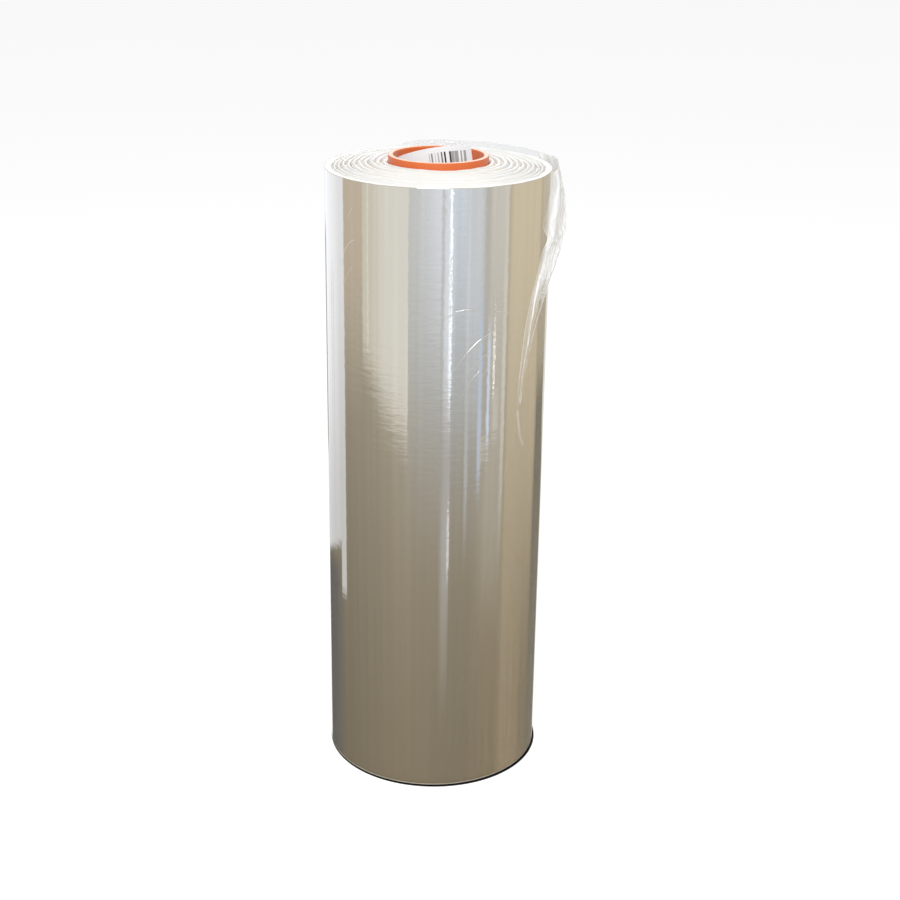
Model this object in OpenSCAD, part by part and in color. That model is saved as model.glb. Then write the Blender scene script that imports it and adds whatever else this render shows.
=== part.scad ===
// Roll of clear shrink film on a 3 inch plastic core, standing on its end.
// Frame: millimetres, +Z up along the core's axis, origin on the floor at the axis.
// Angles run counter-clockwise from +X; the roll's front is towards -Y.

/* [Core] */
// Bore of the core
core_bore = 76.2; // [50:0.1:80]
// Wall of the core
core_wall = 4.8; // [3:0.1:10]
// How far the core stands above the outer turns
core_proud = 9.4; // [6:0.1:30]
// Bevel inside each mouth of the core
mouth_bevel = 0.9; // [0.3:0.1:1.5]
// Bevel outside each mouth of the core
lip_bevel = 0.5; // [0.2:0.1:1]

/* [Film] */
// Width of the film
film_w = 550; // [350:10:900]
// Diameter over the wound film
roll_d = 193.6; // [160:0.2:260]
// How far the inner turns have slid up past the outer ones
slip = 4.6; // [1:0.1:8]
// Width of the level band of outer turns that the roll stands on
land_w = 5; // [3:0.5:12]
// Number of rounded ridges that the turns form on each end, the land's half ridge too
ridges = 11; // [6:1:16]
// Depth of the grooves between the ridges
ridge_depth = 2.2; // [0.5:0.1:3]
// Bevel along the outermost turn's edges
rim_bevel = 0.5; // [0.2:0.1:1]

/* [Loose end] */
// Thickness of the loose film as modelled
loose_t = 0.3; // [0.2:0.05:0.6]
// Gap between the roll and loose film that lies against it
loose_gap = 0.3; // [0.2:0.05:1]
// Height of the loose film's upper edge above the outer turns
collar_h = 4.5; // [2:0.5:12]
// How far the widest fold stands off the roll
fold_proud = 12; // [2:0.5:25]
// How far down the film has come loose at its free edge
loose_drop = 210; // [150:10:280]
// Direction in which the film leaves the roll, behind it on the left
loose_start = 118; // [90:1:150]

/* [Label] */
// Height of the paper label inside the core
label_h = 40; // [20:1:60]
// Direction of the label's left side
label_left = 159; // [120:1:170]
// Distance of the label's right side from the core's axis, along the label's slope
label_right = 30.8; // [20:0.1:33]
// Slope of the label, right side up
label_tilt = 8.6; // [0:0.1:12]
// Depth of the label's upper edge below the core's end, along the axis
label_drop = 1; // [0.5:0.1:10]
// How far the label's right corner stands above the core's end
label_proud = 2; // [0.5:0.1:4]
// Thickness of the label
label_t = 0.12; // [0.08:0.01:0.2]

/* [Hidden] */
$fn = 128;

core_r = core_bore / 2;
core_out_r = core_r + core_wall;
core_len = film_w + core_proud;
// The first turns lie on the core with this much clearance
wind_clear = 0.05;
film_in_r = core_out_r + wind_clear;
roll_r = roll_d / 2;
land_r = roll_r - land_w;
// The label lies this far off the core's wall
label_gap = 0.05;

// Points per ridge on the end that shows and on the one that the roll stands on
top_steps = 4;
foot_steps = 2;
// By the core the ridges are this share wider than on average, by the land narrower
ridge_crowding = 0.29;
// Up to twice this much is off some ridges' height
ridge_vary = 0.3;

// The loose film's grid, from its free edge round to where it leaves the roll
loose_cols = 46;
loose_rows = 26;
// The borders that dive into the roll end this deep in it
root_depth = 0.8;
// Columns crowd towards the free edge by this power
crowding = 1.4;
// The free edge lies this far to the front of the fold's crest, in half widths
edge_at = 0.75;
// The upper edge starts this far under the roll's end, and rises over this angle
collar_root = 2;
collar_rise = 18;
// The free corner droops by this share of the collar's height over this angle
corner_droop = 1.3;
corner_span = 17;
// Away from the free edge the loose part gets shorter by this share over this angle
shorter_share = 0.6;
shorter_span = 100;
// Pleats that run along the fold: their depth as a share of it, and how many
pleat_share = 0.16;
pleats = 1.6;
// The fold's course: depth below the roll's end, direction of the crest,
// half width in degrees, and height as a share of fold_proud
fold_course = [
    [-5, 6, 26, 0.34],
    [10, -1, 21, 0.72],
    [28, -5, 21, 1],
    [50, -8, 20, 0.93],
    [68, -12, 18, 0.66],
    [85, -20, 14, 0.42],
    [100, -28, 9, 0.33],
    [130, -36.5, 5, 0.26],
    [170, -42, 2.5, 0.1],
    [210, -43, 3, 0.02],
    [300, -52, 3, 0]
];

function smooth(x) = let (t = min(max(x, 0), 1)) t * t * (3 - 2 * t);
function column(k) = [for (row = fold_course) [row[0], row[k]]];
crest_table = column(1);
half_table = column(2);
share_table = column(3);

// How far the turn at radius r has slid up, 0 over the land
function slip_at(r) = r >= land_r ? 0
    : slip * cos(90 * (r - film_in_r) / (land_r - film_in_r));
// Depth under the crests at place s, counted in ridges from the groove at the core
function groove(s) = ridge_depth * (1 - abs(sin(180 * s)))
    + ridge_vary * (1 + sin(137 * floor(s)));
// Radius at a share of the way from the core to the land
function ridge_r(share) = film_in_r
    + (land_r - film_in_r) * share * (1 + ridge_crowding * (1 - share));
// One end's outline from the core to the rim, as points of [radius, height]
function end_outline(steps, base, way) = [
    for (k = [0 : (ridges - 0.5) * steps - 1])
        let (s = k / steps, r = ridge_r(s / (ridges - 0.5)))
        [r, base + slip_at(r) - way * groove(s)]
];
function reversed(list) = [for (k = [len(list) - 1 : -1 : 0]) list[k]];

// Direction of the free edge at a depth below the roll's end
function edge_dir(depth) = lookup(depth, crest_table) - edge_at * lookup(depth, half_table);
// How far the fold stands off at a direction and depth
function fold_off(dir, depth) =
    let (s = (dir - lookup(depth, crest_table)) / lookup(depth, half_table))
    abs(s) >= 1 ? 0
    : fold_proud * lookup(depth, share_table) * cos(90 * s)
        * (1 + pleat_share * sin(360 * pleats * s));
// Height of the loose film's upper edge at a direction
function upper_edge(dir) = film_w - collar_root
    + (collar_h + collar_root) * smooth((loose_start - dir) / collar_rise)
    - corner_droop * collar_h * (1 - smooth((dir - edge_dir(0)) / corner_span));
// Height of the loose part's lower border at a direction
function lower_border(dir) = film_w
    - loose_drop * (1 - shorter_share * smooth((dir - edge_dir(loose_drop)) / shorter_span));
// A point of the loose film's outer (layer 1) or inner (layer 0) face
function loose_point(i, j, layer) =
    let (
        u = pow(i / loose_cols, crowding),
        rim_dir = edge_dir(0) + (loose_start - edge_dir(0)) * u,
        low = lower_border(rim_dir),
        z = low + (upper_edge(rim_dir) - low) * j / loose_rows,
        first = edge_dir(film_w - z),
        dir = first + (loose_start - first) * u,
        rooted = i == loose_cols || j == 0,
        off = rooted ? -root_depth : loose_gap + fold_off(dir, film_w - z),
        r = roll_r + off + layer * loose_t
    )
    [r * cos(dir), r * sin(dir), z];
function loose_id(i, j, layer) =
    (layer * (loose_rows + 1) + j) * (loose_cols + 1) + i;
function two(a, b, c, d) = [[a, b, c], [a, c, d]];

// Tube that the film is wound on
module core() {
    color("darkorange")
    rotate_extrude()
    polygon([
        [core_r + mouth_bevel, 0],
        [core_out_r - lip_bevel, 0],
        [core_out_r, lip_bevel],
        [core_out_r, core_len - lip_bevel],
        [core_out_r - lip_bevel, core_len],
        [core_r + mouth_bevel, core_len],
        [core_r, core_len - mouth_bevel],
        [core_r, mouth_bevel]
    ]);
}

// All the tight turns, with ridged ends that have slid up towards the core
module wound_turns() {
    rotate_extrude()
    polygon(concat(
        end_outline(foot_steps, 0, -1),
        [
            [land_r, 0],
            [roll_r - rim_bevel, 0],
            [roll_r, rim_bevel],
            [roll_r, film_w - rim_bevel],
            [roll_r - rim_bevel, film_w],
            [land_r, film_w]
        ],
        reversed(end_outline(top_steps, film_w, 1))
    ));
}

// The last turn, which has come away at the upper end and folded at its free edge
module loose_end() {
    points = [
        for (layer = [0, 1]) for (j = [0 : loose_rows]) for (i = [0 : loose_cols])
            loose_point(i, j, layer)
    ];
    faces = [
        for (j = [0 : loose_rows - 1]) for (i = [0 : loose_cols - 1])
            each concat(
                two(loose_id(i, j, 1), loose_id(i, j + 1, 1),
                    loose_id(i + 1, j + 1, 1), loose_id(i + 1, j, 1)),
                two(loose_id(i, j, 0), loose_id(i + 1, j, 0),
                    loose_id(i + 1, j + 1, 0), loose_id(i, j + 1, 0))
            ),
        for (j = [0 : loose_rows - 1])
            each concat(
                two(loose_id(0, j + 1, 1), loose_id(0, j, 1),
                    loose_id(0, j, 0), loose_id(0, j + 1, 0)),
                two(loose_id(loose_cols, j, 1), loose_id(loose_cols, j + 1, 1),
                    loose_id(loose_cols, j + 1, 0), loose_id(loose_cols, j, 0))
            ),
        for (i = [0 : loose_cols - 1])
            each concat(
                two(loose_id(i + 1, loose_rows, 1), loose_id(i, loose_rows, 1),
                    loose_id(i, loose_rows, 0), loose_id(i + 1, loose_rows, 0)),
                two(loose_id(i, 0, 1), loose_id(i + 1, 0, 1),
                    loose_id(i + 1, 0, 0), loose_id(i, 0, 0))
            )
    ];
    polyhedron(points, faces);
}

// The film: one long web, so its turns and its loose end are one solid
module film_roll() {
    color("gainsboro") {
        wound_turns();
        loose_end();
    }
}

// Paper label stuck to the core's inner wall
module core_label() {
    label_r = core_r - label_gap - label_t;
    mid_z = core_len - label_drop - label_h / 2;
    slab = 4 * core_r;
    color("white")
    intersection() {
        rotate_extrude(angle = label_left)
        translate([label_r, core_len - slab])
        square([label_t, slab + label_proud]);
        translate([0, 0, mid_z])
        rotate([0, -label_tilt, 0])
        translate([label_right - slab / 2, 0, 0])
        cube([slab, slab, label_h], center = true);
    }
}

core();
film_roll();
core_label();
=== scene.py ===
import math
from typing import NamedTuple

import bpy
import numpy as np
from bpy.props import (
    FloatProperty,
    FloatVectorProperty,
    IntProperty,
    PointerProperty,
)
from mathutils import Matrix, Vector, noise


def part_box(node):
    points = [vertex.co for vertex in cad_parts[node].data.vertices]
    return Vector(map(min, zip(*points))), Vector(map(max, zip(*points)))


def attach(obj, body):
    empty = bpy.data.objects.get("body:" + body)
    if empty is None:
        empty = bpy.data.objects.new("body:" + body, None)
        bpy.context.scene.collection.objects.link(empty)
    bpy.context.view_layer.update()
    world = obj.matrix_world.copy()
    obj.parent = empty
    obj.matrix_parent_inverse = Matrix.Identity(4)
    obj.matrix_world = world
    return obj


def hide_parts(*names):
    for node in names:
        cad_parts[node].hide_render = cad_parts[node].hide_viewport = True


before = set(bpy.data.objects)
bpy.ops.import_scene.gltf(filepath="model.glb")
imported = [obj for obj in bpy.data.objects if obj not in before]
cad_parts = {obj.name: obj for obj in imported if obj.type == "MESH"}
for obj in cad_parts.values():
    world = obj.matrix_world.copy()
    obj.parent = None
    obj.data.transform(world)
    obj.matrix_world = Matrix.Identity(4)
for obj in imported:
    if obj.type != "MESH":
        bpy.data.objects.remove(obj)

bl_info = {
    "name": "Shrink Film Roll",
    "version": (1, 0, 0),
    "blender": (4, 5, 0),
    "location": "View3D > Sidebar > Film Roll",
    "description": "A roll of clear shrink film on an orange core, with its loose end",
    "category": "Object",
}

MM = 0.001
_, CORE_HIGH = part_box("core")
FILM_LOW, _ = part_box("film_roll")
_, LABEL_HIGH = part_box("core_label")

# Air between the core and the first turns
WIND_CLEAR = 0.05 * MM
# Up to twice this is off some ridges' height, by a wave that moves on so far at each ridge
RIDGE_VARY = 0.3 * MM
RIDGE_STEP = math.radians(137)
# Below 1, this flattens the ridges' crests and narrows the grooves
CREST_POWER = 0.75
# Points per ridge on the end that shows and on the one that the roll stands on
TOP_STEPS = 12
FOOT_STEPS = 6
# Bevel of the outermost turn's edges
RIM = 0.5 * MM
# Facets round the wound film and round the core, and spans up the film's side
ROLL_STEPS = 240
CORE_STEPS = 160
WALL_SPANS = 12


# Sizes and colours

def number(name, description, default):
    return FloatProperty(name=name, description=description, default=default)


def metres(name, description, default):
    return FloatProperty(name=name, description=description, default=default, unit="LENGTH")


def degrees(name, description, default):
    return FloatProperty(
        name=name, description=description, default=math.radians(default), subtype="ANGLE")


def paint(name, description, default):
    return FloatVectorProperty(
        name=name, description=description, default=default, size=3, subtype="COLOR")


class RollSizes(bpy.types.PropertyGroup):
    """Sizes of the wound film and its core"""

    film_width: metres("Film width", "Width of the film, from end to end", 0.55)
    roll_radius: metres("Roll radius", "From the axis to the outermost tight turn", -FILM_LOW.x)
    slip: metres("Slip", "How far the inner turns have slid past the outer ones", 4.6 * MM)
    land_width: metres("Land", "Width of the level band of outer turns", 5 * MM)
    ridges: IntProperty(
        name="Ridges", description="Rounded ridges on each end, the land's half ridge too",
        default=11)
    crowding: number("Crowding", "How much wider than average the ridges are by the core", 0.29)
    ridge_depth: metres("Ridge depth", "Depth of the grooves between ridges", 2.2 * MM)
    core_wall: metres("Core wall", "Wall of the core", 4.8 * MM)
    core_radius: metres("Core radius", "Outside of the core", CORE_HIGH.x)
    core_length: metres("Core length", "Length of the core", CORE_HIGH.z)
    label_tilt: degrees("Label's slope", "How far the label's right side is turned up", 8.6)

    @property
    def land_radius(self):
        return self.roll_radius - self.land_width


class LooseSizes(bpy.types.PropertyGroup):
    """Sizes of the last turn's loose end"""

    start: degrees("Start", "Direction in which the film leaves the roll", 118)
    collar: metres("Collar", "Height of the upper edge above the outer turns", 4.5 * MM)
    proud: metres("Fold height", "How far the widest fold stands off the roll", 10.4 * MM)
    gap: metres("Gap", "Gap under film that lies against the roll", 0.25 * MM)
    thickness: metres("Thickness", "Thickness of the loose film as modelled", 0.12 * MM)


class RollColours(bpy.types.PropertyGroup):
    """Colours of the roll"""

    film: paint("Film", "Tint of many turns seen together", (0.62, 0.6, 0.55))
    film_end: paint("Film ends", "Colour of the turns' cut edges", (0.71, 0.71, 0.695))
    # The grooves' tan is painted shade
    groove_shade: paint("Grooves", "Colour deep between the ridges", (0.68, 0.57, 0.41))
    loose: paint("Loose film", "Whiteness of the loose film", (0.97, 0.97, 0.965))
    core: paint("Core", "Orange of the core", (0.64, 0.135, 0.03))
    # The core's ends are paler orange as a painted highlight
    core_highlight: paint("Core's sawn ends", "Paler orange of the core's cut ends", (0.88, 0.56, 0.38))
    label: paint("Label", "White of the label's paper", (0.9, 0.98, 1.0))
    bars: paint("Bars", "Ink of the label's bars", (0.02, 0.02, 0.025))


class StudioSettings(bpy.types.PropertyGroup):
    """Camera, floor and light"""

    camera_distance: metres("Camera distance", "Level distance from the roll's axis", 1.3494)
    camera_height: metres("Camera height", "Height above the floor", 0.8063)
    pitch: degrees("Pitch", "How far the camera looks down", 20.89)
    yaw: degrees("Yaw", "How far the camera looks to the right", 0.57)
    roll: degrees("Roll", "How far the camera leans", 0.86)
    lens: number("Lens", "Focal length in mm", 63.72)
    floor: paint("Floor", "Colour of the floor", (0.93, 0.93, 0.93))
    sky: number("Sky", "Strength of the even light from all round", 0.72)
    key: number("Key", "Power of the lamp overhead, in watts", 5)
    front: number("Front", "Power of the lamp above the camera, in watts", 22)
    window: number("Window", "Power of the light behind that only gives sheen, in watts", 12)


# Small tools

def grid_faces(rows, columns, closed=False):
    """Faces between a grid's neighbouring points. Closed, its last column meets the first."""
    return [
        (j * columns + i, j * columns + (i + 1) % columns,
         (j + 1) * columns + (i + 1) % columns, (j + 1) * columns + i)
        for j in range(rows - 1) for i in range(columns if closed else columns - 1)
    ]


def two_paces(switch, first, second):
    """Shares from 0 to 1: so many up to the switch, and at another pace from it on."""
    return np.concatenate([np.linspace(0, switch, first), np.linspace(switch, 1, second)[1:]])


def clear_selection():
    """Nothing selected and nothing in edit mode, as each piece needs at its start."""
    if bpy.context.object and bpy.context.object.mode != "OBJECT":
        bpy.ops.object.mode_set(mode="OBJECT")
    bpy.ops.object.select_all(action="DESELECT")


def smooth(x):
    """0 below 0, 1 above 1 and an S curve between, for a number or an array."""
    t = np.clip(x, 0, 1)
    return t * t * (3 - 2 * t)


def lathe(name, outline, steps):
    """A closed ring of the outline's (radius, height) points, spun round the core's axis."""
    clear_selection()
    bpy.ops.mesh.primitive_plane_add(size=MM, location=(outline[0][0], 0, outline[0][1]))
    piece = bpy.context.object
    piece.name = piece.data.name = name
    bpy.ops.object.transform_apply(location=True, rotation=False, scale=False)
    bpy.ops.object.mode_set(mode="EDIT")
    bpy.ops.mesh.select_all(action="SELECT")
    bpy.ops.mesh.merge(type="CENTER")
    for (r0, z0), (r1, z1) in zip(outline, outline[1:] + outline[:1]):
        bpy.ops.mesh.extrude_region_move(
            TRANSFORM_OT_translate={"value": (r1 - r0, 0, z1 - z0)})
    bpy.ops.mesh.select_all(action="SELECT")
    bpy.ops.mesh.spin(steps=steps, angle=math.tau, center=(0, 0, 0), axis=(0, 0, 1))
    bpy.ops.mesh.select_all(action="SELECT")
    bpy.ops.mesh.remove_doubles(threshold=0.01 * MM)
    bpy.ops.mesh.normals_make_consistent(inside=False)
    bpy.ops.object.mode_set(mode="OBJECT")
    return piece


def rounded(points, radius, bits=4):
    """The closed outline with its corners rounded to a radius, in this many bits each."""
    out = []
    for k, point in enumerate(points):
        here = Vector(point)
        back = (Vector(points[k - 1]) - here).normalized() * radius
        on = (Vector(points[(k + 1) % len(points)]) - here).normalized() * radius
        for step in range(bits + 1):
            t = step / bits
            out.append(tuple(here + back * (1 - t) ** 2 + on * t**2))
    return out


def finish_piece(piece, slot, material, *nodes):
    """Gives a piece its material, puts it on the roll's one body and hides the nodes that it stands
    for.
    """
    piece.data.materials.clear()
    piece.data.materials.append(material)
    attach(piece, "root")
    if nodes:
        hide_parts(*nodes)


# Shader nodes

class Shade:
    """A node's output that sums, products and comparisons take like a number."""

    def __init__(self, finish, socket):
        self.finish = finish
        self.socket = socket

    def maths(self, operation, *others):
        """A Math node's result for this value and the others."""
        return self.finish.maths(operation, self, *others)

    def __add__(self, other):
        return self.maths("ADD", other)

    def __sub__(self, other):
        return self.maths("SUBTRACT", other)

    def __rsub__(self, other):
        return self.finish.maths("SUBTRACT", other, self)

    def __mul__(self, other):
        return self.maths("MULTIPLY", other)

    def __truediv__(self, other):
        return self.maths("DIVIDE", other)

    def __pow__(self, other):
        return self.maths("POWER", other)

    def __gt__(self, other):
        return self.maths("GREATER_THAN", other)

    def __lt__(self, other):
        return self.maths("LESS_THAN", other)

    def __abs__(self):
        return self.maths("ABSOLUTE")

    __radd__ = __add__
    __rmul__ = __mul__

    def between(self, low, high):
        """0 where this is low or less, 1 where it is high or more, and smooth between."""
        return self.finish.node(
            "MapRange", {"interpolation_type": "SMOOTHSTEP"}, {0: self, 1: low, 2: high})


class Finish:
    """A material, built up from nodes."""

    def __init__(self, name):
        self.material = bpy.data.materials.new(name)
        self.material.use_nodes = True
        self.nodes = self.material.node_tree.nodes
        self.links = self.material.node_tree.links
        self.nodes.clear()

    def node(self, kind, settings=None, inputs=None, out=0):
        """Adds a node, sets it, fills its sockets with values or links, and gives an output."""
        made = self.nodes.new(f"ShaderNode{kind}")
        for name, value in (settings or {}).items():
            setattr(made, name, value)
        for key, value in (inputs or {}).items():
            socket = made.inputs[key]
            if isinstance(value, Shade):
                self.links.new(value.socket, socket)
            elif socket.type == "RGBA":
                socket.default_value = (*value, 1)
            else:
                socket.default_value = value
        return Shade(self, made.outputs[out]) if len(made.outputs) else None

    def maths(self, operation, *values):
        return self.node("Math", {"operation": operation}, dict(enumerate(values)))

    def place(self):
        """The point's place in the part's own frame."""
        return self.node("TexCoord", out="Object")

    def axes(self, place):
        """x, y and z of a place."""
        split = self.node("SeparateXYZ", None, {0: place})
        return [Shade(self, split.socket.node.outputs[k]) for k in range(3)]

    def from_axis(self, place, aside=0.0, ahead=0.0):
        """Distance of a place from the roll's axis, or from a point beside it."""
        x, y, _ = self.axes(place)
        level = self.node("CombineXYZ", None, {0: x - aside, 1: y + ahead})
        return self.node("VectorMath", {"operation": "LENGTH"}, {0: level}, out="Value")

    def scaled(self, place, *scale):
        """A place with its coordinates multiplied by these."""
        return self.node("Mapping", None, {"Vector": place, "Scale": scale})

    def cloud(self, place, scale=1.0, detail=2.0):
        """Soft noise from 0 to 1."""
        return self.node("TexNoise", None, {"Vector": place, "Scale": scale, "Detail": detail})

    def dots(self, place, scale, inner, outer):
        """1 in dots of the inner radius, 0 beyond the outer one, both in spans of 1 / scale."""
        away = self.node("TexVoronoi", None, {"Vector": place, "Scale": scale}, out="Distance")
        return 1 - away.between(inner, outer)

    def mix(self, share, first, second):
        """The first colour where share is 0 and the second where it is 1."""
        return self.node(
            "Mix", {"data_type": "RGBA", "clamp_factor": True},
            {0: share, 6: first, 7: second}, out=2)

    def bump(self, height, relief):
        """The surface's direction on a bump that is relief metres high where height is 1."""
        return self.node("Bump", None, {"Strength": 1.0, "Distance": relief, "Height": height})

    def surface(self, height, relief, **inputs):
        """Ends the material in one Principled node with a bump."""
        sockets = {key.replace("_", " "): value for key, value in inputs.items()}
        sockets["Normal"] = self.bump(height, relief)
        return self.end(self.node("BsdfPrincipled", None, sockets))

    def end(self, shader):
        self.node("OutputMaterial", None, {"Surface": shader})
        return self.material


# Finishes

class Stroke(NamedTuple):
    """A fine crease in the outermost turn, as an arc from start to end.

    It runs round the roll, with start and end in degrees from the front and first and
    last as its heights in metres there, or if upright, up it, the other way about.
    broken is how much of it is left out. The rest is in metres.
    """

    start: float
    end: float
    first: float
    last: float
    bow: float = 0.0
    width: float = 0.35 * MM
    height: float = 0.06 * MM
    upright: bool = False
    broken: float = 0.0


STROKES = (
    Stroke(-58, -43, 0.472, 0.501, bow=0.007, height=0.12 * MM),
    Stroke(-53, -46, 0.461, 0.478, bow=0.002, height=0.07 * MM),
    Stroke(8, 18, 0.4475, 0.449, bow=0.001, height=0.2 * MM, broken=0.4),
    Stroke(9, 29, 0.398, 0.428, bow=0.006, height=0.13 * MM),
    Stroke(12, 30, 0.386, 0.412, bow=0.005, height=0.08 * MM),
    Stroke(15, 27, 0.404, 0.425, bow=0.004, height=0.06 * MM),
    Stroke(-57, -17, 0.221, 0.3, bow=-0.002, width=0.5 * MM, height=0.012 * MM),
    Stroke(0.38, 0.434, 30.3, 29.3, width=0.7 * MM, height=0.45 * MM, upright=True, broken=0.42),
    Stroke(0.38, 0.5, 6.9, 6.6, width=0.6 * MM, height=0.3 * MM, upright=True, broken=0.5),
    Stroke(0.213, 0.272, 7.2, 7.0, width=0.5 * MM, height=0.3 * MM, upright=True, broken=0.42),
    Stroke(12, 24, 0.372, 0.398, bow=0.004, height=0.1 * MM),
    Stroke(22, 30, 0.386, 0.401, bow=0.003, height=0.1 * MM),
    Stroke(-4, 22, 0.4395, 0.455, bow=-0.001, height=0.035 * MM),
    Stroke(31, 39, 0.4455, 0.442, height=0.05 * MM),
    Stroke(-50, -46, 0.517, 0.528, height=0.05 * MM),
    Stroke(-57, -52, 0.499, 0.508, height=0.07 * MM),
)
# A stroke of this height or more gets its painted glint in full
BRIGHT_HEIGHT = 0.2 * MM


def crease_height(f, turn, z, radius):
    """The strokes' height over the film in millimetres, and how much painted glint they get."""
    place = f.place()
    breaks = f.cloud(f.scaled(place, 500, 500, 330), detail=1.0)
    total, bright = 0.0, 0.0
    degree = math.radians(1) * radius
    for stroke in STROKES:
        along, across = (z, turn) if stroke.upright else (turn, z)
        t = (along - stroke.start) / (stroke.end - stroke.start)
        middle = t * (stroke.last - stroke.first) + stroke.first
        middle = middle + (1 - t) * t * (4 * stroke.bow)
        off = abs(across - middle) * (degree if stroke.upright else 1.0)
        line = 1 - off.between(0.0, stroke.width)
        ends = t.between(0.0, 0.12) * (1 - t.between(0.88, 1.0))
        if stroke.broken:
            ends = ends * breaks.between(stroke.broken, stroke.broken + 0.08)
        total = total + line * ends * (stroke.height / MM)
        bright = bright + line * ends * min(stroke.height / BRIGHT_HEIGHT, 1)
    return total, bright


def wound_film_finish(colours, sizes):
    """Many clear turns seen as one: a silvery, faintly rippled mirror."""
    f = Finish("wound_film")
    place = f.place()
    x, y, z = f.axes(place)
    turn = x.maths("ARCTAN2", 0.0 - y) * math.degrees(1)

    # relief in millimetres, which is less towards the foot
    long_ripples = f.cloud(f.scaled(place, 42, 42, 240), detail=3.0)
    short_ripples = f.cloud(place, scale=330, detail=2.0)
    wide_waves = f.cloud(f.scaled(place, 14, 14, 30), detail=1.0)
    specks = f.dots(place, 85.0, 0.03, 0.07)
    creases, bright = crease_height(f, turn, z, sizes.roll_radius)
    crumpled = f.cloud(place, scale=175, detail=1.0)
    grit = f.cloud(f.scaled(place, 420, 420, 800), detail=1.0)
    pebbled = z.between(0.505, 0.54) * turn.between(-16, -10) * (1 - turn.between(30, 40))
    uneven = z.between(0.18, 0.4) * 0.95 + 0.05
    height = (long_ripples * 0.065 + wide_waves * 0.07 + specks * 0.02 + creases
              + uneven * (crumpled * (pebbled * 0.05 + 0.034) + short_ripples * 0.011
                          + grit * 0.006))

    # tint: faint upright streaks, painted glints on the creases, tan motes low down, and a painted
    # highlight and painted contact shadow at the foot
    streaks = f.cloud(f.scaled(place, 170, 170, 2.5), detail=3.0)
    tint = f.mix(streaks.between(0.35, 0.7) * 0.1, colours.film, (0.9, 0.9, 0.88))
    # Painted glints: near white where the strokes stand out
    tint = f.mix(bright, tint, (1.0, 1.0, 0.98))
    motes = f.dots(place, 24.0, 0.014, 0.03) * (1 - z.between(0.1, 0.2))
    tint = f.mix(motes * 0.8, tint, (0.8, 0.5, 0.22))
    # Painted highlight: a pale cream line along the foot's bevel, which is also less metallic
    foot = 1 - z.between(0.9 * MM, 1.6 * MM)
    tint = f.mix(foot * 0.8, tint, (0.8, 0.74, 0.56))
    # Painted contact shadow: nearly black along the lowest bevel of the foot
    tint = f.mix((1 - z.between(0.35 * MM, 0.6 * MM)) * 0.95, tint, (0.02, 0.02, 0.025))

    dust = f.cloud(place, scale=900, detail=1.0).between(0.72, 0.8)
    # The painted glints and the painted foot highlight are less metallic, and the glints rougher
    painted_glint = bright.between(0.0, 1.0)
    return f.surface(
        height, 1 * MM,
        Base_Color=tint, Metallic=0.88 - painted_glint * 0.6 - foot * 0.6,
        Roughness=dust * 0.07 + streaks * 0.045 + painted_glint * 0.2 + 0.028)


def film_end_finish(colours, sizes):
    """The turns' cut edges: white ridges with tan painted shade in the grooves between them, and a
    painted cream highlight along the rim.
    """
    f = Finish("film_ends")
    place = f.place()
    r = f.from_axis(place)
    share = (r - sizes.core_radius) / (sizes.land_radius - sizes.core_radius)

    # the place counted in ridges, by solving end_outline's radius for it
    k = sizes.crowding
    root = (1 - share * (4 * k / (1 + k) ** 2)) ** 0.5
    in_ridges = (1 - root) * ((1 + k) / (2 * k) * (sizes.ridges - 0.5))
    crest = abs((in_ridges * math.pi).maths("SINE"))
    wander = f.cloud(place, scale=60, detail=2.0)
    # Painted shade: tan deep in the grooves, more so towards the core
    deep = (1 - share) * 0.4 + 0.35
    groove_shade = (1 - crest.between(0.0, 0.9)) * deep * wander.between(0.2, 0.6) * (share < 1.0)

    turns = f.cloud(f.node("CombineXYZ", None, {0: r}), scale=2600, detail=2.0)
    colour = f.mix(groove_shade, colours.film_end, colours.groove_shade)
    colour = f.mix(turns.between(0.45, 0.75) * 0.1, colour, (0.64, 0.61, 0.54))
    # Painted highlight: a cream line just inside the rim
    rim = r.between(sizes.roll_radius - 1.1 * MM, sizes.roll_radius - 0.5 * MM)
    colour = f.mix(rim * 0.75, colour, (0.74, 0.7, 0.53))
    return f.surface(
        turns * 0.6 + wander * 0.4, 0.1 * MM,
        Base_Color=colour, Roughness=0.34, Coat_Weight=0.35, Coat_Roughness=0.22,
        Subsurface_Weight=0.85, Subsurface_Radius=(0.008, 0.007, 0.006))


def loose_film_finish(colours, sizes):
    """One clear turn: nearly nothing where it lies flat, milky where it is gathered."""
    f = Finish("loose_film")
    _, _, z = f.axes(f.place())
    course = f.node("UVMap", {"uv_map": "course"})
    gathered = f.node("Attribute", {"attribute_name": "gathered"}, out="Fac")
    pleats = f.cloud(f.scaled(course, 170, 13, 1), detail=2.0)
    crinkle = f.cloud(f.scaled(course, 300, 55, 1), detail=2.0)
    facing = f.node("LayerWeight", None, {"Blend": 0.3}, out="Facing")
    bright = pleats.between(0.38, 0.62)
    above = z.between(sizes.film_width - 2 * MM, sizes.film_width)
    folded = gathered.between(0.55, 0.75)
    opacity = gathered * (bright * folded * 0.45 + facing.between(0.3, 1.0) * 0.3 * folded + 0.62)
    tint = f.mix(bright * folded, (0.9, 0.9, 0.89), colours.loose)
    tint = f.mix((1 - folded) * above, tint, (0.74, 0.76, 0.79))
    bump = f.bump((pleats * 0.8 + crinkle * 0.2) * folded, 1 * MM)
    gloss = f.node("BsdfPrincipled", None, {
        "Base Color": tint, "Roughness": 0.22, "Coat Weight": 0.5, "Coat Roughness": 0.08,
        "Normal": bump})
    through = f.node("BsdfTranslucent", None, {"Color": tint, "Normal": bump})
    body = f.node("MixShader", None, {0: 0.35, 1: gloss, 2: through})
    clear = f.node("BsdfTransparent", None, {"Color": (1, 1, 1)})
    return f.end(f.node("MixShader", None, {0: opacity, 1: clear, 2: body}))


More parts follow.
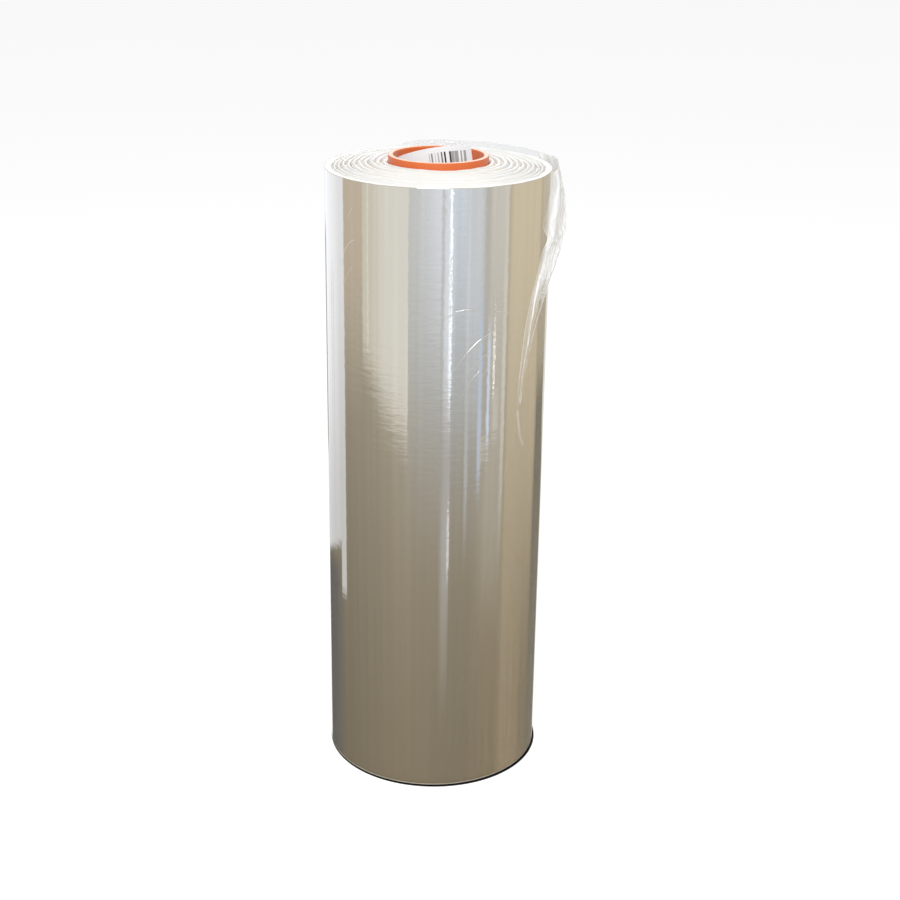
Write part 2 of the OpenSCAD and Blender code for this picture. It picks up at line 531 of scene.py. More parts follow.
def core_finish(colours, sizes):
    """Orange plastic with a slight sheen, a little dust and a paler orange painted highlight on its
    ends.
    """
    f = Finish("core_plastic")
    place = f.place()
    _, _, z = f.axes(place)
    mottle = f.cloud(place, scale=130, detail=3.0)
    marks = f.cloud(f.scaled(place, 260, 260, 30), detail=2.0)
    rings = f.cloud(f.scaled(place, 6, 6, 900), detail=2.0)
    colour = f.mix(mottle.between(0.35, 0.8) * 0.08, colours.core, (0.7, 0.2, 0.06))
    middle = sizes.core_length / 2
    # Painted highlight: paler orange on the core's flat ends
    painted_highlight = abs(z - middle).between(middle - 0.14 * MM, middle - 0.02 * MM)
    colour = f.mix(painted_highlight * 0.8, colour, colours.core_highlight)
    return f.surface(
        marks * 0.05 + mottle * 0.15 + rings * 0.25, 0.05 * MM,
        Base_Color=colour, Roughness=rings * 0.12 + 0.24, Subsurface_Weight=0.1,
        Subsurface_Radius=(0.004, 0.0015, 0.0008))


# Plain upright bars in mm along the label: start, width and how dark. They spell nothing.
BARS = (
    (-9.8, 0.9, 0.4), (-7.8, 1.3, 0.75), (-4.6, 0.8, 0.35), (-2.2, 1.2, 0.5), (0.9, 1.3, 0.85),
    (3.6, 1.5, 1.0), (8.2, 1.5, 0.45), (12.6, 0.5, -0.35), (18.9, 1.5, 0.62), (22.2, 2.6, 0.6),
)
# A run of bars so fine that they look grey, from and to, and how many there are per metre
BLOCK = (8.2, 16.8)
BLOCK_BARS = 1100
# The bars' lower and upper end, from the core's end along them
BARS_REACH = (-30, -5.6)


def label_finish(colours, sizes):
    """White paper with plain upright bars that spell nothing."""
    f = Finish("label_paper")
    place = f.place()
    x, y, z = f.axes(place)
    round_way = x.maths("ARCTAN2", y) * LABEL_HIGH.y
    above = z - sizes.core_length
    cosine, sine = math.cos(sizes.label_tilt), math.sin(sizes.label_tilt)
    along = round_way * cosine + above * sine
    up = above * cosine - round_way * sine

    def within(value, low, high):
        return (value > low * MM) * (value < high * MM)

    ink = 0.0
    for start, width, share in BARS:
        ink = ink + within(along, start, start + width) * share
    fine = (along * BLOCK_BARS).maths("FRACT") > 0.5
    ink = ink + within(along, *BLOCK) * (fine * 0.25 + 0.48)
    stain = f.cloud(place, scale=45, detail=2.0)
    paper = f.mix(stain.between(0.4, 0.8) * 0.12, colours.label, (0.78, 0.82, 0.92))
    return f.surface(
        f.cloud(place, scale=1500, detail=2.0), 0.02 * MM,
        Base_Color=f.mix(ink * within(up, *BARS_REACH), paper, colours.bars), Roughness=0.4)


# The dark line where the roll stands is a painted contact shadow: what shows of a disc
# under it. How far its middle is aside and to the front, and the radii over which it fades
PAINTED_SHADOW_PLACE = (0.8 * MM, 2 * MM)
PAINTED_SHADOW_RADII = (97.2 * MM, 98.4 * MM)
FLOOR_GLOW = 0.27


def floor_finish(colour):
    """Matt paper, a little uneven, that glows faintly so that it stays white far off, with a
    painted contact shadow under the roll where it doesn't glow.
    """
    f = Finish("floor")
    place = f.place()
    grain = f.cloud(place, scale=3, detail=2.0)
    tone = f.mix(grain * 0.15, colour, [c * 0.96 for c in colour])
    # Painted contact shadow: near black in a disc a little wider than the roll and set to its front
    painted_shadow = 1 - f.from_axis(place, *PAINTED_SHADOW_PLACE).between(*PAINTED_SHADOW_RADII)
    tone = f.mix(painted_shadow, tone, (0.012, 0.01, 0.012))
    matt = f.node("BsdfDiffuse", None, {"Color": tone})
    glow = f.node(
        "Emission", None, {"Color": (1, 1, 1), "Strength": FLOOR_GLOW - painted_shadow * FLOOR_GLOW})
    return f.end(f.node("AddShader", None, {0: matt, 1: glow}))


# The wound film

def slip_at(r, sizes):
    """How far the turn at radius r has slid up. The outer band hasn't."""
    share = (r - sizes.core_radius) / (sizes.land_radius - sizes.core_radius)
    return sizes.slip * math.cos(math.pi / 2 * share) if share < 1 else 0.0


def end_outline(sizes, base, way, steps):
    """One end's (radius, height) points from the core to the land."""
    first = sizes.core_radius + WIND_CLEAR
    count = sizes.ridges - 0.5
    points = []
    for k in range(int(count * steps)):
        s = k / steps
        share = s / count
        r = first + (sizes.land_radius - first) * share * (1 + sizes.crowding * (1 - share))
        crest = abs(math.sin(math.pi * s)) ** CREST_POWER
        lower = RIDGE_VARY * (1 + math.sin(RIDGE_STEP * math.floor(s)))
        dip = sizes.ridge_depth * (1 - crest) + lower
        points.append((r, base + slip_at(r, sizes) - way * dip))
    return points


def wound_outline(sizes):
    """The (radius, height) points round the turns' section, over foot, side and upper end."""
    land, wide, tall = sizes.land_radius, sizes.roll_radius, sizes.film_width
    near_rim = [RIM, RIM + 0.3 * MM]
    wall = (near_rim + [tall * k / WALL_SPANS for k in range(1, WALL_SPANS)]
            + [tall - z for z in near_rim[::-1]])
    foot = [(land, 0.0), (land + 2 * MM, 0.0), (wide - RIM, 0.0), (wide - 0.15 * MM, 0.15 * MM)]
    top = [(r, tall - z) for r, z in foot[::-1]]
    return (end_outline(sizes, 0.0, -1, FOOT_STEPS) + foot + [(wide, z) for z in wall] + top
            + end_outline(sizes, tall, 1, TOP_STEPS)[::-1])


def mark_ends(piece, radius, material):
    """Gives a second material to the faces whose middle lies within this radius."""
    piece.data.materials.append(material)
    for face in piece.data.polygons:
        if math.hypot(face.center.x, face.center.y) < radius:
            face.material_index = 1


class FILMROLL_OT_wound_film(bpy.types.Operator):
    """Makes the tight turns of film, with ridged ends"""

    bl_idname = "film_roll.wound_film"
    bl_label = "Wound film"

    def execute(self, context):
        sizes = context.scene.roll_sizes
        colours = context.scene.roll_colours
        piece = lathe("wound_film", wound_outline(sizes), ROLL_STEPS)
        self.roughen(piece, sizes)
        bpy.ops.object.shade_smooth_by_angle(angle=math.radians(50))
        finish_piece(piece, "film", wound_film_finish(colours, sizes), "film_roll")
        mark_ends(piece, sizes.roll_radius - 0.3 * MM, film_end_finish(colours, sizes))
        return {"FINISHED"}

    def roughen(self, piece, sizes):
        """Lets the upper ridges wander a little, as turns that were knocked do."""
        group = piece.vertex_groups.new(name="upper_end")
        low = sizes.film_width - 3 * MM
        for vertex in piece.data.vertices:
            r = math.hypot(vertex.co.x, vertex.co.y)
            if vertex.co.z > low and r > sizes.core_radius + MM:
                outer = float(smooth((r - sizes.land_radius) / (3 * MM)))
                group.add([vertex.index], 1.0 - 0.6 * outer, "REPLACE")
        clouds = bpy.data.textures.new("knocks", "CLOUDS")
        clouds.noise_scale = 0.022
        clouds.noise_depth = 2
        wander = piece.modifiers.new("knocks", "DISPLACE")
        wander.texture = clouds
        wander.texture_coords = "LOCAL"
        wander.direction = "Z"
        wander.mid_level = 0.6
        wander.strength = 1.8 * MM
        wander.vertex_group = group.name
        bpy.ops.object.modifier_apply(modifier=wander.name)


# The loose end

FOLD_COURSE = (
    # depth below the roll's end in mm, crest and half width in degrees, share of the height
    (-5, 6, 26, 0.34),
    (10, -1, 21, 0.72),
    (28, -5.5, 21, 1),
    (50, -9.5, 20, 0.95),
    (68, -13.5, 18.5, 0.68),
    (85, -21.5, 14, 0.43),
    (100, -29.3, 9.2, 0.33),
    (130, -37.2, 5, 0.26),
    (170, -42, 2.5, 0.1),
    (210, -43, 3, 0.02),
    (250, -49.7, 3, 0),
    (400, -67.5, 3, 0),
    (550, -82, 3, 0),
)
# The free edge lies this far to the front of the fold's crest, in half widths
EDGE_AT = 0.75
# Pleats that run along the fold: how many, and their depth as a share of its height
PLEATS = 1.6
PLEAT_SHARE = 0.13
# Height of the sharp little folds between them
FINE_FOLD = 1.5 * MM
# The upper edge rises over this angle from where the film leaves the roll, and droops by
# this share of its height over the last angle before the free corner
COLLAR_RISE = 18
CORNER_DROOP = 1.3
CORNER_SPAN = 17
# The collar leans outwards by this much over its last stretch, where it is also fluted
LEAN = 0.6 * MM
LEAN_REACH = 16 * MM
FLUTE = 0.3 * MM
# Height of the sheet's lower border
SHEET_FOOT = 1.5 * MM
# Notches and bumps of the free edge: depth, half width and how far it swerves in degrees
NOTCHES = (
    (10 * MM, 6 * MM, 2.2),
    (40 * MM, 6 * MM, -1.6),
    (55 * MM, 6 * MM, 2.0),
)


def course(depth, column):
    """The fold's crest, half width or height share at depths in metres, eased at its knots."""
    knots = np.array([row[0] for row in FOLD_COURSE]) * MM
    values = np.array([row[column] for row in FOLD_COURSE], float)
    reach = 9 * MM
    taps = np.linspace(-1, 1, 9)
    weights = 1 - np.abs(taps) * 0.9
    total = sum(w * np.interp(depth + t * reach, knots, values) for t, w in zip(taps, weights))
    return total / weights.sum()


def edge_direction(depth):
    """Direction of the free edge at a depth below the roll's end, with its notches."""
    plain = course(depth, 1) - EDGE_AT * course(depth, 2)
    return plain + sum(
        turn * np.exp(-(((depth - place) / width) ** 2)) for place, width, turn in NOTCHES)


class Crease(NamedTuple):
    """A fold line over the gathered film, through points of direction in degrees and height.

    height is how far it stands out, or in if negative. milky is added to how milky the
    film is along it. A crease with no height is only a painted glint.
    """

    points: tuple
    height: float
    width: float
    milky: float = 0.3


CREASES = (
    # long folds down the upper part
    Crease(((-4, 0.536), (-4, 0.508)), -1.6 * MM, 1.6 * MM, -0.15),
    Crease(((-1, 0.512), (-8, 0.5), (-12, 0.478), (-18, 0.462), (-26, 0.443)), 1.1 * MM,
           1.4 * MM),
    Crease(((2, 0.548), (-6, 0.532), (-13, 0.514), (-17, 0.492), (-22, 0.472), (-30, 0.444)),
           -0.9 * MM, 1.3 * MM, -0.15),
    Crease(((-12, 0.545), (-16, 0.522), (-19, 0.5), (-22, 0.484)), 0.8 * MM, 0.9 * MM),
    # two narrow pouches below it, with a hollow between them
    Crease(((-30.5, 0.461), (-34.6, 0.447), (-37.6, 0.427), (-39.2, 0.41)),
           0.9 * MM, 0.75 * MM, 1.0),
    Crease(((-39.2, 0.41), (-41.5, 0.388), (-43.2, 0.362)), 0.5 * MM, 0.5 * MM, 0.5),
    Crease(((-18, 0.449), (-26, 0.441), (-33, 0.426), (-37, 0.405)), 0.7 * MM, 0.6 * MM, 0.9),
    Crease(((-37, 0.405), (-40.5, 0.38), (-42.6, 0.36)), 0.5 * MM, 0.45 * MM, 0.5),
    Crease(((-29, 0.446), (-34.5, 0.426), (-38.5, 0.4), (-41.6, 0.372)), -0.4 * MM,
           0.7 * MM, -0.4),
    # the borders of the wide pouches
    Crease(((-29.5, 0.4655), (-24, 0.4625), (-19, 0.4675), (-13, 0.484)), 1.3 * MM, 1.0 * MM,
           0.6),
    Crease(((-24.5, 0.5), (-17, 0.492), (-9, 0.498), (-3, 0.519)), 1.1 * MM, 1.3 * MM),
    # painted glints on the collar, milky spots which have no height
    Crease(((109.5, 0.5527), (107.5, 0.5529)), 0.0, 0.8 * MM, 0.85),
    Crease(((103, 0.5528), (101, 0.5528)), 0.0, 0.8 * MM, 0.85),
    Crease(((94.5, 0.5526), (92.5, 0.5528)), 0.0, 0.9 * MM, 0.9),
    Crease(((86, 0.5524), (82, 0.5526)), 0.0, 1.0 * MM, 1.0),
    Crease(((78, 0.5522), (77, 0.5522)), 0.0, 0.8 * MM, 0.8),
    # the loop under the free edge
    Crease(((-44.0, 0.352), (-43.0, 0.34), (-41.3, 0.328), (-37.5, 0.317), (-35.3, 0.312),
            (-30.5, 0.302), (-25.5, 0.296)), 0.35 * MM, 0.9 * MM),
)


def near_line(direction, z, points, radius):
    """Distance from each place on the sheet to a line of (direction, height) points."""
    along = np.radians(direction) * radius
    best = np.full(direction.shape, np.inf)
    for (a0, z0), (a1, z1) in zip(points, points[1:]):
        x0, x1 = math.radians(a0) * radius, math.radians(a1) * radius
        dx, dz = x1 - x0, z1 - z0
        t = np.clip(((along - x0) * dx + (z - z0) * dz) / (dx * dx + dz * dz), 0, 1)
        best = np.minimum(best, np.hypot(along - x0 - t * dx, z - z0 - t * dz))
    return best


def wrinkles(first, second, third):
    """Smooth noise from about -1 to 1 at each place, coarse and fine together."""
    out = np.zeros(first.shape)
    for k, (a, b) in enumerate(zip(first.ravel(), second.ravel())):
        coarse = noise.noise(Vector((a, b, third)))
        out.flat[k] = coarse + 0.45 * noise.noise(Vector((a * 2.7, b * 2.3, third + 5)))
    return out


class FILMROLL_OT_loose_end(bpy.types.Operator):
    """Makes the last turn of film, which has come away at the top and folded"""

    bl_idname = "film_roll.loose_end"
    bl_label = "Loose end"

    def execute(self, context):
        sizes = context.scene.roll_sizes
        loose = context.scene.loose_sizes
        points, course_map, gathered = self.grid(sizes, loose)
        piece = self.sheet(points, course_map)
        layer = piece.data.attributes.new("gathered", "FLOAT", "POINT")
        layer.data.foreach_set("value", gathered.astype(np.float32).ravel())
        self.thicken(piece, loose)
        finish_piece(
            piece, "film", loose_film_finish(context.scene.roll_colours, sizes), "film_roll")
        piece.visible_glossy = False
        return {"FINISHED"}

    def grid(self, sizes, loose):
        """Places of the sheet's points by row and column, their map and how milky they are."""
        u = two_paces(0.36, 150, 62)[None, :]
        v = two_paces(0.5, 28, 136)[:, None]

        # the upper edge, and every point's height and direction
        start = math.degrees(loose.start)
        corner = edge_direction(np.zeros(1))[0]
        rim = corner + (start - corner) * u
        rise = smooth((start - rim) / COLLAR_RISE)
        droop = CORNER_DROOP * (1 - smooth((rim - corner) / CORNER_SPAN))
        waver = 0.5 * np.sin(np.radians(rim) * 13) + 0.3 * np.sin(np.radians(rim) * 29 + 1)
        upper = sizes.film_width + loose.collar * (rise - droop) + 0.5 * MM * waver * rise
        z = SHEET_FOOT + (upper - SHEET_FOOT) * v
        depth = sizes.film_width - z
        first = edge_direction(depth)
        direction = first + (start - first) * u

        # the fold, with its pleats, small folds and fold lines
        s = (direction - course(depth, 1)) / course(depth, 2)
        left = np.clip(s / 0.8, -1, 0)
        bell = np.cos(np.where(s < 0, left, np.clip(s, 0, 1)) * math.pi / 2)
        share = course(depth, 3)
        near = share * bell
        folds = wrinkles(s * 2.6 + depth * 9, depth * 16, 3.1)
        pleats = 1 + PLEAT_SHARE * np.sin(math.tau * PLEATS * (s + 0.2 * folds))
        ridged = 0.5 - np.abs(folds) * 2
        fold = loose.proud * near * pleats + FINE_FOLD * ridged * np.sqrt(near) * smooth(bell * 2)
        milky = np.zeros(z.shape)
        for crease in CREASES:
            away = near_line(direction, z, crease.points, sizes.roll_radius)
            peak = np.exp(-((away / crease.width) ** 2))
            fold = fold + crease.height * peak
            milky = milky + crease.milky * peak

        # the collar's lean, and the points
        flare = smooth(1 - (depth + 5 * MM) / LEAN_REACH) * rise
        flute = FLUTE * np.sin(np.radians(direction) * 31 + 2 * np.sin(np.radians(rim) * 7))
        rooted = smooth((1 - u) * 30)
        lift = loose.gap + rooted * np.maximum(fold + flare * (LEAN + flute), 0)
        r = sizes.roll_radius + lift
        angle = np.radians(direction)
        points = np.stack([r * np.cos(angle), r * np.sin(angle), z], axis=-1)
        course_map = np.stack([np.radians(direction - first) * sizes.roll_radius, depth], axis=-1)

        # milkier where it is gathered, at the collar, along the free edge and at the painted glints
        thick = smooth(bell * 2) * smooth(share * 2.5) * (0.16 + 0.89 * smooth((z - 0.43) / 0.05))
        edge_line = np.exp(-((direction - first) * 5)) * (
            0.1 * smooth((z - 0.15) / 0.15) + 0.5 * smooth((z - 0.35) / 0.05))
        gathered = np.clip(thick + milky * (share > 0.01) + 0.5 * flare + edge_line, 0, 1)
        return points, course_map, gathered

    def sheet(self, points, course_map):
        """The sheet as a single layer, with its map for the material's pleats."""
        mesh = bpy.data.meshes.new("loose_film")
        mesh.from_pydata(points.reshape(-1, 3).tolist(), [], grid_faces(*points.shape[:2]))
        layer = mesh.uv_layers.new(name="course")
        corners = np.empty(len(mesh.loops), dtype=np.int32)
        mesh.loops.foreach_get("vertex_index", corners)
        layer.data.foreach_set("uv", course_map.reshape(-1, 2)[corners].astype(np.float32).ravel())
        piece = bpy.data.objects.new("loose_film", mesh)
        bpy.context.collection.objects.link(piece)
        return piece

    def thicken(self, piece, loose):
        """Gives the single layer its thickness."""
        clear_selection()
        bpy.context.view_layer.objects.active = piece
        piece.select_set(True)
        wall = piece.modifiers.new("wall", "SOLIDIFY")
        wall.thickness = loose.thickness
        wall.offset = 1
        bpy.ops.object.modifier_apply(modifier=wall.name)
        bpy.ops.object.shade_smooth_by_angle(angle=math.radians(60))

    def flat_size(self, points):
        """Width and length of the modelled stretch of film before it was gathered."""
        across = np.linalg.norm(np.diff(points, axis=1), axis=2).sum(axis=1).mean()
        return float(across), float(points[:, :, 2].max() - points[:, :, 2].min())


# The core and its label

class FILMROLL_OT_core(bpy.types.Operator):
    """Makes the orange core with rounded lips"""

    bl_idname = "film_roll.core"
    bl_label = "Core"

    def execute(self, context):
        sizes = context.scene.roll_sizes
        outer, inner = sizes.core_radius, sizes.core_radius - sizes.core_wall
        high, mouth, lip = sizes.core_length, 0.9 * MM, 0.5 * MM
        corners = [
            (inner + mouth, 0.0), (outer - lip, 0.0), (outer, lip), (outer, high - lip),
            (outer - lip, high), (inner + mouth, high), (inner, high - mouth), (inner, mouth),
        ]
        piece = lathe("core_tube", rounded(corners, 0.2 * MM), CORE_STEPS)
        bpy.ops.object.shade_smooth_by_angle(angle=math.radians(50))
        finish_piece(piece, "core_plastic", core_finish(context.scene.roll_colours, sizes), "core")
        return {"FINISHED"}


class FILMROLL_OT_label(bpy.types.Operator):
    """Gives the label inside the core its paper and its plain bars"""

    bl_idname = "film_roll.label"
    bl_label = "Label"

    def execute(self, context):
        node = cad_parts["core_label"]
        node.data.materials.clear()
        node.data.materials.append(
            label_finish(context.scene.roll_colours, context.scene.roll_sizes))
        return {"FINISHED"}


# The studio

FLOOR_SIZE = 60
FLOOR_GAP = 0.05 * MM


class FILMROLL_OT_studio(bpy.types.Operator):
    """Sets up the floor, the lights, the cards and the camera"""

    bl_idname = "film_roll.studio"
    bl_label = "Studio"

    def execute(self, context):
        studio = context.scene.studio_settings
        self.floor(studio)
        self.lights(studio)
        self.cards(context.scene)
        self.camera(context.scene, studio)
        context.scene.view_settings.view_transform = "Standard"
        return {"FINISHED"}

    def floor(self, studio):
        clear_selection()
        bpy.ops.mesh.primitive_plane_add(size=FLOOR_SIZE, location=(0, 0, -FLOOR_GAP))
        floor = bpy.context.object
        floor.name = "floor"
        floor.data.materials.append(floor_finish(studio.floor))

    def lights(self, studio):
        world = bpy.data.worlds.new("soft_sky")
        world.use_nodes = True
        sky = world.node_tree.nodes["Background"].inputs
        sky["Color"].default_value = (1, 1, 1, 1)
        sky["Strength"].default_value = studio.sky
        bpy.context.scene.world = world
        self.area("key", (0.9, -0.5, 2.2), (0, 0, 0.3), (1.4, 1.4), studio.key)
        self.area("front", (-0.15, -1.5, 1.5), (0, 0, 0.5), (0.9, 0.9), studio.front)
        window = self.area("window", (0.05, 3.0, 1.75), (0, 0, 0.5), (1.6, 1.1), studio.window)
        window.visible_diffuse = False

    def area(self, name, place, target, size, power):
        lamp = bpy.data.lights.new(name, "AREA")
        lamp.shape = "RECTANGLE"
        lamp.size, lamp.size_y = size
        lamp.energy = power
        lit = bpy.data.objects.new(name, lamp)
        lit.location = place
        lit.visible_camera = False
        lit.rotation_euler = (Vector(target) - Vector(place)).to_track_quat("-Z", "Y").to_euler()
        bpy.context.collection.objects.link(lit)
        return lit

    def cards(self, scene):
        """Coloured cards that lie on the floor and show only as the film's reflections."""
        sizes, studio = scene.roll_sizes, scene.studio_settings
        mesh, glow = reflecting_cards(sizes, studio)
        layer = mesh.color_attributes.new("glow", "FLOAT_COLOR", "POINT")
        layer.data.foreach_set("color", glow.astype(np.float32).ravel())
        cards = bpy.data.objects.new("cards", mesh)
        bpy.context.collection.objects.link(cards)
        f = Finish("cards")
        colour = f.node("Attribute", {"attribute_name": "glow"}, out="Color")
        mesh.materials.append(f.end(f.node("Emission", None, {0: colour})))
        f.material.cycles.emission_sampling = "NONE"
        for way in ("camera", "diffuse", "transmission", "volume_scatter", "shadow"):
            setattr(cards, f"visible_{way}", False)

    def camera(self, scene, studio):
        data = bpy.data.cameras.new("camera")
        data.lens = studio.lens
        camera = bpy.data.objects.new("camera", data)
        turn = (Matrix.Rotation(-studio.yaw, 4, "Z")
                @ Matrix.Rotation(math.pi / 2 - studio.pitch, 4, "X")
                @ Matrix.Rotation(studio.roll, 4, "Z"))
        place = Matrix.Translation((0, -studio.camera_distance, studio.camera_height))
        camera.matrix_world = place @ turn
        scene.collection.objects.link(camera)
        scene.camera = camera


class Card(NamedTuple):
    """A coloured card, by where the film shows it to the camera.

    left and right are in degrees from the film's front, and low and high are heights on
    it. soft says how soft the two upright edges are, fade the two level ones. slope is
    how much the lower end rises for each degree.
    """

    left: float
    right: float
    low: float
    colour: tuple
    soft: tuple
    fade: float = 0.02
    high: float = 1.0
    slope: float = 0.0


CARDS = (
    # the middle is more neutral further up
    Card(-14, 36, 0.33, (0.48, 0.51, 0.54), (24, 1), fade=0.3),
    # tan to the right, with a dark strip beside it
    Card(38, 63, -1, (0.36, 0.27, 0.15), (6, 4)),
    Card(54, 63, -1, (0.26, 0.2, 0.12), (9, 4), high=0.2, fade=0.3),
    Card(37.8, 63, 0.3, (0.84, 0.73, 0.54), (5, 4), fade=0.5),
    Card(64.5, 78, -1, (0.215, 0.19, 0.14), (2, 2), high=0.37, fade=0.06),
    # the bright edge on the right
    Card(80, 92, -1, (0.5, 0.5, 0.5), (3, 1)),
    Card(75.5, 92, 0.335, (0.86, 0.84, 0.78), (2, 1), fade=0.06, slope=-0.009),
    # white on the left, dark below it and with narrow brighter strips in it
    Card(-92, -59, -1, (0.115, 0.105, 0.095), (1, 14), high=0.2, fade=0.04),
    Card(-58.3, -53.5, 0.172, (0.79, 0.79, 0.8), (0.3, 0.3), fade=0.012),
    Card(-80, -53.5, 0.201, (0.79, 0.8, 0.84), (0.8, 0.25), fade=0.01, slope=0.0009),
    Card(-80, -53.5, 0.4, (1.1, 1.13, 1.23), (0.8, 0.25), fade=0.3),
    Card(-80, -60, 0.36, (1.26, 1.3, 1.42), (0.8, 14), fade=0.32),
    Card(-65.5, -64.9, 0.21, (0.8, 0.8, 0.82), (0.3, 0.3), high=0.47),
    Card(-68.3, -67.6, 0.21, (0.86, 0.86, 0.88), (0.3, 0.3), high=0.47),
    Card(-92, -80, -1, (1.0, 1.0, 1.05), (1, 3)),
    Card(-92, -78.5, 0.3, (0.44, 0.38, 0.33), (1, 1.5), high=0.5, fade=0.03),
    # cream left of the middle
    Card(-39.6, -14, 0.405, (0.82, 0.78, 0.67), (0.6, 0.25), fade=0.06, slope=-0.0025),
    Card(-53.5, -39.6, 0.43, (0.7, 0.6, 0.47), (0.6, 0.6), fade=0.2),
    Card(-29, -14, 0.38, (0.98, 0.97, 0.93), (14, 0.25), fade=0.12, slope=-0.0015),
    Card(-36.3, -35.8, 0.41, (1.0, 1.06, 1.06), (0.2, 0.2)),
    # grey and pale blue from the middle to the tan, with fine strips and glints
    Card(-14, 4, 0.42, (0.76, 0.8, 0.86), (0.25, 8), fade=0.28),
    Card(-5, 9, 0.46, (0.98, 1.06, 1.23), (14, 2), fade=0.22),
    Card(7.5, 36.4, 0.44, (0.85, 0.97, 1.17), (1.2, 1.0), fade=0.3),
    Card(16, 27, 0.45, (0.82, 0.87, 0.97), (6, 2), fade=0.3),
    Card(24, 36.4, 0.21, (0.47, 0.42, 0.33), (8, 2), fade=0.16),
    Card(26, 36.4, 0.385, (0.8, 0.78, 0.74), (5, 0.6), fade=0.34),
    Card(14.7, 16.4, 0.27, (0.6, 0.61, 0.64), (0.7, 0.7), fade=0.12),
    Card(14.7, 16.4, 0.41, (0.84, 0.92, 1.04), (0.7, 0.7), fade=0.16),
    Card(21.3, 23.4, 0.3, (0.64, 0.76, 0.99), (0.9, 0.9), fade=0.06, high=0.45),
    Card(26.2, 27.6, 0.325, (0.82, 0.98, 1.32), (0.5, 0.5), fade=0.03, high=0.43),
    Card(22.7, 27.5, 0.316, (0.69, 0.68, 0.62), (0.8, 1.6), fade=0.01, high=0.334, slope=0.0018),
    Card(29.5, 32.8, 0.338, (0.73, 0.71, 0.64), (1.5, 2), fade=0.012, high=0.375),
    Card(29.4, 30.3, 0.379, (2.1, 2.1, 2.1), (0.2, 0.2), fade=0.002, high=0.418),
    Card(29.5, 30.3, 0.4225, (1.6, 1.6, 1.6), (0.2, 0.2), fade=0.001, high=0.4262),
    Card(29.5, 30.4, 0.4305, (1.9, 1.9, 1.9), (0.2, 0.2), fade=0.001, high=0.4355),
    Card(34.7, 36.9, 0.3, (0.88, 0.85, 0.8), (1.2, 0.6), fade=0.22),
    # the bright slit in the middle
    Card(3.2, 7.3, 0.12, (0.39, 0.35, 0.3), (3.5, 0.5), fade=0.14),
    Card(3.4, 7.4, 0.2, (0.52, 0.51, 0.52), (4, 0.5), fade=0.1),
    Card(3.4, 7.4, 0.36, (0.7, 0.73, 0.8), (4, 0.4), fade=0.1),
    Card(3.4, 7.3, 0.385, (1.0, 1.09, 1.25), (2.0, 0.25), fade=0.13),
    Card(6.1, 7.4, 0.375, (1.6, 1.75, 2.05), (1.4, 0.12), fade=0.05),
    Card(6.4, 7.4, 0.213, (1.15, 1.17, 1.3), (0.6, 0.3), high=0.272),
)
# Between the cards the light runs from near to far as the film shows it from foot to top
NEAR_FLOOR = (0.233, 0.173, 0.082)
FAR_FLOOR = (0.69, 0.62, 0.495)
FAR_HEIGHT = 0.55
FAR_POWER = 1.85
# Its brightness by turn, in degrees from the front
FLOOR_TURNS = (-90, -50, -40, -30, -20, -4, 10, 18, 30, 90)
FLOOR_TONES = (0.78, 0.8, 0.82, 0.88, 1.01, 0.96, 0.87, 0.89, 1.08, 1.0)


def card_light(turn, height):
    """Light of the cards that the film shows at this turn and height."""
    rise = (np.clip(height / FAR_HEIGHT, 0, 1) ** FAR_POWER)[..., None]
    light = np.array(NEAR_FLOOR) * (1 - rise) + np.array(FAR_FLOOR) * rise
    light = light * np.interp(turn, FLOOR_TURNS, FLOOR_TONES)[..., None]
    for card in CARDS:
        left, right = card.soft
        low = card.low + card.slope * (turn - card.left)
        across = smooth((turn - card.left) / left + 0.5) * smooth((card.right - turn) / right + 0.5)
        up = smooth((height - low) / card.fade + 0.5)
        up = up * smooth((card.high - height) / card.fade + 0.5)
        share = (across * up)[..., None]
        light = light * (1 - share) + np.array(card.colour) * share
    return light


# The widest turn whose reflection a card takes up, and the cards' height off the floor
WIDEST = 85.5
CARDS_HEIGHT = 0.3 * MM


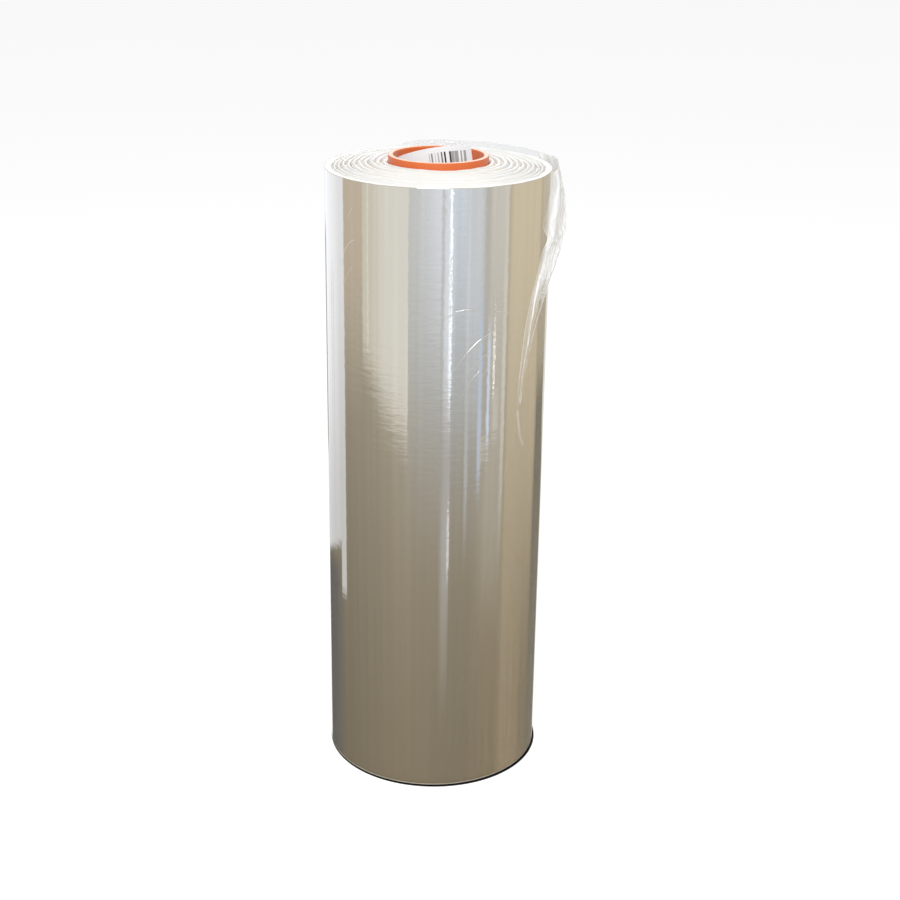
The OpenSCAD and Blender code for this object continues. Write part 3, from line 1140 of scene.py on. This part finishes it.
def reflecting_cards(sizes, studio):
    """A floor mesh whose points are where the camera's rays land off the film."""
    turn = np.linspace(-WIDEST, WIDEST, 685)
    height = np.concatenate([np.linspace(0.001, 0.56, 130), [0.59, 0.62, 0.66, 0.7, 0.74]])
    turn, height = np.meshgrid(turn, height)
    angle = np.radians(turn)
    out = np.stack([np.sin(angle), -np.cos(angle), np.zeros_like(angle)], axis=-1)
    start = out * sizes.roll_radius
    start[..., 2] = height
    ray = start - np.array([0, -studio.camera_distance, studio.camera_height])
    ray -= 2 * (ray * out).sum(axis=-1, keepdims=True) * out
    hit = start - ray * (height / ray[..., 2])[..., None]
    hit[..., 2] = CARDS_HEIGHT
    mesh = bpy.data.meshes.new("cards")
    mesh.from_pydata(hit.reshape(-1, 3).tolist(), [], grid_faces(*turn.shape, closed=True))
    glow = np.concatenate([card_light(turn, height), np.ones((*turn.shape, 1))], axis=-1)
    return mesh, glow


class FILMROLL_PT_panel(bpy.types.Panel):
    """Lists the steps that make the roll"""

    bl_idname = "FILMROLL_PT_panel"
    bl_label = "Film Roll"
    bl_space_type = "VIEW_3D"
    bl_region_type = "UI"
    bl_category = "Film Roll"

    def draw(self, context):
        for group in ("roll_sizes", "loose_sizes", "roll_colours", "studio_settings"):
            box = self.layout.box()
            settings = getattr(context.scene, group)
            for name in settings.bl_rna.properties.keys():
                if name not in ("rna_type", "name"):
                    box.prop(settings, name)
        for step in STEPS:
            self.layout.operator(step.bl_idname)


GROUPS = {
    "roll_sizes": RollSizes,
    "loose_sizes": LooseSizes,
    "roll_colours": RollColours,
    "studio_settings": StudioSettings,
}
STEPS = (
    FILMROLL_OT_wound_film,
    FILMROLL_OT_loose_end,
    FILMROLL_OT_core,
    FILMROLL_OT_label,
    FILMROLL_OT_studio,
)


def register():
    for cls in (*GROUPS.values(), *STEPS, FILMROLL_PT_panel):
        bpy.utils.register_class(cls)
    for name, group in GROUPS.items():
        setattr(bpy.types.Scene, name, PointerProperty(type=group))


def unregister():
    for name in GROUPS:
        delattr(bpy.types.Scene, name)
    for cls in (FILMROLL_PT_panel, *reversed(STEPS), *reversed(GROUPS.values())):
        bpy.utils.unregister_class(cls)


def main():
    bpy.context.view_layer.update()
    register()
    bpy.ops.film_roll.wound_film()
    bpy.ops.film_roll.loose_end()
    bpy.ops.film_roll.core()
    bpy.ops.film_roll.label()
    bpy.ops.film_roll.studio()


if __name__ == "__main__":
    main()
